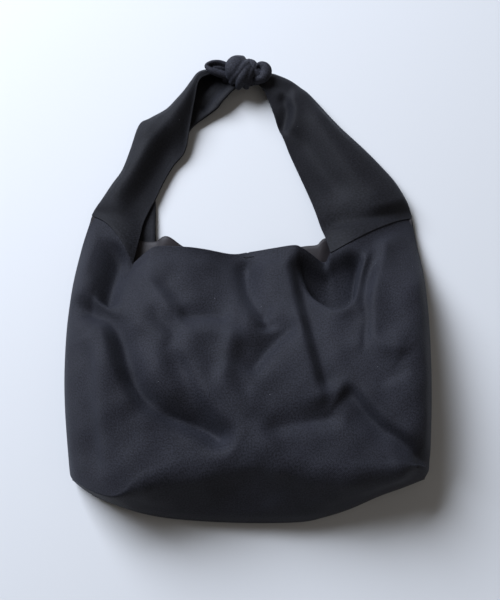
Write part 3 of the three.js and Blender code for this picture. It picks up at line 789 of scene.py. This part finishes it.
back = back_surface()
back_normals = grid_normals(back)
# The two layers of the back: depth, thickness, material, slot and the pieces that they touch
BACK_LAYERS = {
    "back_panel": (0, CLOTH, WOOL, "wool", ["front_panel_left", "front_panel_right"]),
    "back_lining": (LINING_DEPTH, LINING, SATIN, "lining", ["back_panel_cloth"]),
}
for part, (depth, thickness, material, slot, rests_on) in BACK_LAYERS.items():
    layer = layer_object(f"{part}_cloth", back, back_normals, depth, thickness, material, side=-1)
    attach(layer, "bag")
    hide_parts(part)


# Straps. Each row: outer edge, front inner edge and back inner edge in pixels, then the heights of the
# front inner edge, of the crown and of the back inner edge.
LEFT_STRAP = [
    (LEFT_TOP, LEFT_CORNER, LEFT_BACK_CORNER, 18, 20, 5),
    ((97, 206), (140, 235), (155.5, 228), 14, 20, 4),
    ((102, 199), (143, 223), (155.5, 216), 12, 21, 3),
    ((112, 184), (149, 210), (155.5, 205), 11, 22, 3),
    ((122, 170), (155, 199), (155.5, 197), 10, 23, 3),
    ((130, 150), (163, 182), (162, 184), 10, 24, 3),
    ((139, 125), (173, 165), (170, 168), 10, 25, 3),
    ((150, 118), (182, 155), (180, 150), 11, 26, 3),
    ((166, 109), (186, 146), (186, 138), 13, 26, 4),
    ((176, 99), (188.5, 132), (193, 127), 16, 25, 6),
    ((184, 90), (191, 118), (205, 118), 19, 25, 8),
    ((191, 80.5), (194.5, 100), (217, 109), 22, 25, 11),
    ((198, 72), (199, 80), (227, 98), 24, 25, 14),
    ((208, 69), (209, 74), (233, 91), 22, 23, 17),
    ((224, 68), (224, 72), (238, 87), 20, 21, 19),
]
RIGHT_STRAP = [
    (RIGHT_TOP, RIGHT_CORNER, RIGHT_BACK_CORNER, 32, 40, 10),
    ((408, 204), (325, 235), (327, 234), 26, 33, 6),
    ((401, 191), (316, 211), (319, 211), 20, 28, 3),
    ((391, 177), (309, 194), (313, 194), 16, 25, 3),
    ((366, 151), (300, 174), (304, 174), 15, 25, 3),
    ((338, 125), (290, 152), (294, 152), 14, 25, 3),
    ((311, 96), (281, 130), (285, 130), 14, 25, 4),
    ((301, 88), (276, 117), (279, 117), 15, 25, 6),
    ((291, 81), (270, 102), (273, 101), 17, 25, 9),
    ((280, 76), (265, 91), (267, 90), 19, 25, 13),
    ((270, 73), (259, 84), (260, 83), 20, 25, 16),
    ((250, 70), (248, 80), (249, 80), 20, 24, 18),
]
LEFT_STRAP_FOLDS = [
    ([(106, 206), (127, 178), (150, 145), (175, 112), (197, 78)], 5, 11, 10, 1.8, 0.15),
    ([(126, 220), (137, 194), (150, 173), (166, 147), (179, 124)], -4.5, 9, 10, 2.0, 0.3),
    ([(136, 143), (150, 127), (168, 108)], 2.5, 4, 6, 1.6, 0.3),
]
RIGHT_STRAP_FOLDS = [
    ([(305, 98), (330, 138), (360, 182), (394, 208)], 6, 12, 18, 1.8, 0.2),
    ([(297, 124), (309, 150), (327, 176), (350, 200)], -6, 14, 9, 1.8, 0.25),
    ([(318, 226), (350, 220), (396, 212)], -5.5, 5, 10, 1.6, 0.25),
    ([(264, 80), (280, 86), (296, 93)], -4, 4, 5, 1.8, 0.25),
    ([(285, 97), (294, 107), (293, 120), (287, 134)], 5, 4, 9, 1.6, 0.2),
    ([(279, 92), (287, 104), (286, 120), (281, 136)], -7, 7, 4, 1.8, 0.2),
]
# Folds of the back of the left strap, where its inside shows under the knot
LEFT_UNDER_FOLDS = [
    ([(199, 113), (213, 99), (229, 84)], -7, 4, 5, 1.6, 0.2),
    ([(216, 108), (224, 97), (230, 86)], 4, 5, 5, 2.0, 0.3),
]
FOLD_EDGE = 0.3  # share of the width of a strap that rolls over at its outer edge
STRAP_UNDERSIDE = 1.2  # height of the lower side of a strap
LAP = np.array([0, -2.0, 1.4])  # how the front of a strap laps over its seam
TUCK = np.array([0, -3.5, -1.2])  # how the back of a strap goes in between the layers of the body
LAP_LENGTH = 12  # length over which the lap and the tuck run out
SEAM_LENGTH = 40  # length over which a strap turns from the edges of the body into its own shape
STRAP_FOLD_START = 8  # length from the seam over which the folds set in
ROLL_FADE = 0.1  # share of the width, at the outer edge, over which the folds set in


def strap_surface(rows, folds, under_folds, front_seam, back_seam):
    """Grid of a folded strap: along it from its seam to the knot, and round it from the front inner edge
    over its outer edge to the back inner edge."""
    table = [[*outer, *inner, *behind, *heights] for outer, inner, behind, *heights in rows]
    table = spline(table, STRAP_ROWS)
    outer, inner, behind = table[:, 0:2], table[:, 2:4], table[:, 4:6]
    inner_z, crown_z, behind_z = table[:, 6, None], table[:, 7, None], table[:, 8, None]
    reach = crowd(np.linspace(0, 1, STRAP_COLUMNS), STRAP_CROWD)
    roll = np.sqrt(1 - (1 - np.clip(reach / FOLD_EDGE, 0, 1)) ** 2)
    inward = smooth((reach - FOLD_EDGE) / (1 - FOLD_EDGE))
    middle_z = (crown_z + STRAP_UNDERSIDE) / 2
    top_z = lerp(middle_z, lerp(crown_z, inner_z, inward), roll)
    under_z = lerp(middle_z, lerp(STRAP_UNDERSIDE, behind_z, inward), roll)
    top = outer[:, None] + (inner - outer)[:, None] * reach[:, None]
    under = outer[:, None] + (behind - outer)[:, None] * reach[:, None]
    top = to_frame(top[..., 0], top[..., 1], top_z)
    under = to_frame(under[..., 0], under[..., 1], under_z)
    # The first rows turn into the edges of the body
    along = np.append(0, np.cumsum(np.linalg.norm(np.diff(top[:, STRAP_COLUMNS // 2], axis=0), axis=1)))
    from_seam = smooth(1 - along / SEAM_LENGTH)[:, None, None]
    top += (by_share(front_seam, reach) - top[0]) * from_seam
    under += (by_share(back_seam, reach) - under[0]) * from_seam
    inside = smooth(along / STRAP_FOLD_START)[:, None] * smooth(reach / ROLL_FADE)
    for layer, strokes in ((top, folds), (under, under_folds)):
        pixels = to_pixel(layer)
        rise = np.zeros(layer.shape[:2])
        for stroke in strokes:
            rise += fold(pixels, *stroke)
        layer[..., 2] += soften(rise * inside, STRAP_FOLD_ROUNDS)
    at_seam = smooth(1 - along / LAP_LENGTH)[:, None, None]
    return np.hstack([(top + LAP * at_seam)[:, ::-1], (under + TUCK * at_seam)[:, 1:]])


def back_seam_of(corner, height):
    """Part of the rim of the back from its nearer end to a corner."""
    place = to_frame(*corner, height)
    k = int(np.linalg.norm(back_edge - place, axis=1).argmin())
    return back_edge[:k + 1] if k < len(back_edge) // 2 else back_edge[:k - 1:-1]


# Each strap: rows, folds, folds of its back, seam at the front, 1 if its grid looks outwards or else -1
STRAPS = {
    "left": (LEFT_STRAP, LEFT_STRAP_FOLDS, LEFT_UNDER_FOLDS, left_seam, -1),
    "right": (RIGHT_STRAP, RIGHT_STRAP_FOLDS, [], right_seam[::-1], 1),
}
# The two layers of a strap, by the ending of their names: depth, thickness and the two nodes replaced
STRAP_LAYERS = {
    "": (0, CLOTH, "base", "arm"),
    "_inside": (LINING_DEPTH, FACING, "base_facing", "facing"),
}
for name, (rows, folds, under_folds, front_seam, side) in STRAPS.items():
    back_corner, *_, back_height = rows[0][2:]
    back_seam = back_seam_of(back_corner, back_height)
    surface = strap_surface(rows, folds, under_folds, front_seam, back_seam)
    normals = grid_normals(surface)
    for ending, (depth, thickness, lower, upper) in STRAP_LAYERS.items():
        strap = layer_object(f"{name}_strap{ending}", surface, normals, depth, thickness, STRAP_WOOL_SHADED,
                             side=side)
        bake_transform(strap)
        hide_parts(f"{name}_strap_{lower}", f"{name}_strap_{upper}")


# Knot

LOBE_RINGS = 40
LOBE_SIDES = 28
KNOT_VOXEL = 0.9
KNOT_ROUNDS = 4  # rounds of smoothing
EVEN_FACTOR = 0.5  # how far a point moves to the middle of its neighbours in each round


def tube(path, wide, high):
    """Points and faces of a closed body along a path of pixel marks, with half widths along the floor and
    half heights at the marks."""
    marks = spline(np.column_stack([placed(path), wide, high]), LOBE_RINGS)
    centre, a, b = marks[:, :3], marks[:, 3], marks[:, 4]
    way = np.gradient(centre, axis=0)
    way /= np.linalg.norm(way, axis=1, keepdims=True)
    side = np.cross((0, 0, 1), way)
    side /= np.linalg.norm(side, axis=1, keepdims=True)
    up = np.cross(way, side)
    turn = np.linspace(0, 2 * math.pi, LOBE_SIDES, endpoint=False)
    points = [c + np.outer(np.cos(turn) * p, s) + np.outer(np.sin(turn) * q, u)
              for c, p, q, s, u in zip(centre, a, b, side, up)]
    faces = []
    for i in range(LOBE_RINGS - 1):
        here = i * LOBE_SIDES
        beyond = here + LOBE_SIDES
        for k in range(LOBE_SIDES):
            m = (k + 1) % LOBE_SIDES
            faces.append((here + k, here + m, beyond + m, beyond + k))
    faces.append(tuple(range(LOBE_SIDES))[::-1])
    faces.append(tuple(range((LOBE_RINGS - 1) * LOBE_SIDES, LOBE_RINGS * LOBE_SIDES)))
    return np.vstack(points), faces


def lobes_object(name, lobes, material, voxel, rounds):
    """One closed body of lobes that press on each other, joined in voxels and then smoothed."""
    points = []
    faces = []
    count = 0
    for lobe in lobes:
        lobe_points, lobe_faces = tube(*lobe)
        points.append(lobe_points)
        faces += [tuple(v + count for v in face) for face in lobe_faces]
        count += len(lobe_points)
    rough = new_object(f"{name}_rough", np.vstack(points), faces, material)
    remesh = rough.modifiers.new("remesh", "REMESH")
    remesh.mode = "VOXEL"
    remesh.voxel_size = voxel * MM
    even = rough.modifiers.new("even", "SMOOTH")
    even.iterations = rounds
    even.factor = EVEN_FACTOR
    shape = bpy.data.meshes.new_from_object(rough.evaluated_get(bpy.context.evaluated_depsgraph_get()))
    bpy.data.objects.remove(rough)
    shape.name = name
    shape.polygons.foreach_set("use_smooth", [True] * len(shape.polygons))
    return link_object(name, shape)


def knot_piece(part, lobes):
    """A piece of the knot, in place of the CAD part of that name."""
    piece = lobes_object(f"{part}_cloth", lobes, KNOT_WOOL_LIT, KNOT_VOXEL, KNOT_ROUNDS)
    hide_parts(part)
    return piece


# Lobes: path of pixel marks with heights, half widths, half heights
WRAP_LOBES = [
    ([(243, 59, 24), (237, 63, 33), (233, 70, 36), (229, 79, 26)], [5, 12, 12, 4], [5, 9, 9, 4]),
    ([(248, 62, 26), (244, 67, 36), (237, 75, 35), (231, 83, 22)], [3, 6, 6, 4], [4, 7, 7, 4]),
    ([(250, 65, 26), (246, 71, 36), (241, 80, 33), (238, 88, 18)], [3, 6, 7, 4], [4, 7, 7, 4]),
    ([(252, 68, 26), (250, 74, 33), (247, 81, 29), (246, 88, 18)], [3, 5, 6, 4], [4, 7, 7, 4]),
    ([(248, 61, 24), (253, 64, 29), (255, 69, 28), (254, 76, 24)], [3, 5, 5, 3], [4, 6, 6, 4]),
    ([(250, 64, 18), (250, 70, 20), (250, 77, 19), (249, 86, 14)], [5, 9, 9, 5], [6, 11, 11, 6]),
]
CORE_LOBES = [
    ([(222, 77, 18), (232, 75, 20), (245, 74, 20), (258, 76, 20), (266, 78, 18)],
     [8, 13, 16, 13, 9], [9, 12, 14, 12, 8]),
]
LEFT_TAIL_LOBES = [
    ([(228, 76, 26), (220, 74, 28), (212, 71, 30), (206, 66, 30), (212, 63, 32), (220, 63, 32),
      (228, 66, 30)], [5, 5, 4, 2.5, 3, 3.5, 4], [5, 5, 5, 3, 5, 5, 5]),
    ([(228, 71, 24), (218, 69, 25), (207, 67, 26)], [8, 7, 3], [4, 4, 3]),
    ([(226, 70, 28), (219, 68, 30), (213, 67, 30)], [2, 2, 1], [3, 3, 2]),
]
RIGHT_TAIL_LOBES = [
    ([(252, 79, 22), (257, 80, 26), (263, 78, 29), (266, 72, 31), (265, 67, 32), (260, 65, 31),
      (256, 68, 29), (257, 73, 28), (261, 73, 27)],
     [4, 4.5, 6.5, 8, 6.5, 4, 2.5, 2, 1.5], [5, 6, 7, 7, 7, 6, 5, 5, 4]),
    ([(256, 76, 20), (261, 73, 21), (265, 70, 23)], [5, 6, 5], [4, 4, 4]),
    ([(258, 66, 29), (265, 66, 31), (270.5, 69, 29)], [3, 5, 2], [4, 5, 3]),
]

wrap = knot_piece("knot_wrap", WRAP_LOBES)
core = knot_piece("knot_core", CORE_LOBES)
left_tail = knot_piece("left_tail", LEFT_TAIL_LOBES)
right_tail = knot_piece("right_tail", RIGHT_TAIL_LOBES)
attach(wrap, "strap")
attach(core, "strap")
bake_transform(left_tail)
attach(right_tail, "right_tail")

# Small dark beads just below the edge of the mouth by the snap: painted shade, standing for the shadow of
# the fold there
SNAP_SHADE_MARKS = [(243, 257.5), (246.5, 257), (250, 257), (253.5, 256.5)]
SHADE_MARK_RADIUS = 0.7
SHADE_MARK_VOXEL = 0.3
SHADE_MARK_ROUNDS = 1
front_pixels = to_pixel(front)
shade_mark_points = []
for mark in SNAP_SHADE_MARKS:
    off = np.linalg.norm(front_pixels - np.array(mark), axis=2)
    nearest = np.unravel_index(off.argmin(), off.shape)
    shade_mark_points.append((*front_pixels[nearest], front[nearest][2]))
shade_mark_radii = [SHADE_MARK_RADIUS] * len(SNAP_SHADE_MARKS)
shade_marks = lobes_object("snap_shade_marks", [(shade_mark_points, shade_mark_radii, shade_mark_radii)], SHADE_MARK_WOOL,
                        SHADE_MARK_VOXEL, SHADE_MARK_ROUNDS)
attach(shade_marks, "mouth")

# Each half of the front is looked up once more, and the snap is given steel
for name, panel in front_panels.items():
    half = front[:, HALVES[name][0]]

for snap in ("snap_socket", "snap_stud"):
    NODES[snap].data.materials.clear()
    NODES[snap].data.materials.append(STEEL)


# Floor, light and camera

FLOOR_HALF = 4000  # half the side of the floor
FLOOR_LOOK = {"Base Color": (0.58, 0.58, 0.58, 1), "Roughness": 0.8}
LIT_PLACE = (0, 0, 0.03)  # what the lamps look at, in metres
WARM = (1.0, 0.95, 0.9)
COOL = (0.80, 0.87, 1.0)
ROOM_LIGHT = 0.075  # light of the room on the object
PALE_BACKDROP = 0.55  # how bright the room looks beyond the floor


def lamp(name, place, size, power, colour):
    """A square lamp that looks at the object, with its place and size in metres."""
    light = bpy.data.lights.new(name, "AREA")
    light.size = size
    light.energy = power
    light.color = colour
    shown = link_object(name, light)
    shown.location = place
    way = np.array(LIT_PLACE) - np.array(place)
    flat = math.hypot(way[0], way[1])
    shown.rotation_euler = (math.atan2(flat, -way[2]), 0, math.atan2(-way[0], way[1]))


def pale_room():
    """A world that gives little light, and that the camera, gloss and glass see as pale."""
    world = bpy.data.worlds.new("studio")
    world.use_nodes = True
    tree = world.node_tree
    ray = node(tree, "ShaderNodeLightPath")
    seen = ray.outputs["Is Camera Ray"]
    for kind in ("Is Glossy Ray", "Is Transmission Ray"):
        seen = worked_out(tree, "MAXIMUM", seen, ray.outputs[kind])
    strength = worked_out(tree, "MULTIPLY_ADD", seen, PALE_BACKDROP - ROOM_LIGHT, ROOM_LIGHT)
    backdrop = tree.nodes["Background"]
    feed(tree, backdrop.inputs["Color"], (*WARM, 1))
    feed(tree, backdrop.inputs["Strength"], strength)
    return world


corners = np.array([(-1, -1, 0), (1, -1, 0), (1, 1, 0), (-1, 1, 0)]) * FLOOR_HALF
floor_material, _ = new_material("pale_floor")
floor = new_object("floor", corners, [(0, 1, 2, 3)], shaded(floor_material, FLOOR_LOOK))
lamp("key", place=(-2.0, 2.0, 2.3), size=2.2, power=320, colour=COOL)
lamp("fill", place=(0.9, -0.6, 1.6), size=2.0, power=3, colour=WARM)
bpy.context.scene.world = pale_room()
bpy.context.scene.view_settings.view_transform = "Standard"

camera = bpy.data.cameras.new("camera")
camera.sensor_width = SENSOR
camera.lens = SENSOR * FOCAL / PHOTO_HEIGHT
view = link_object("camera", camera)
view.location = EYE * MM
view.rotation_euler = (TILT, 0, 0)
bpy.context.scene.camera = view
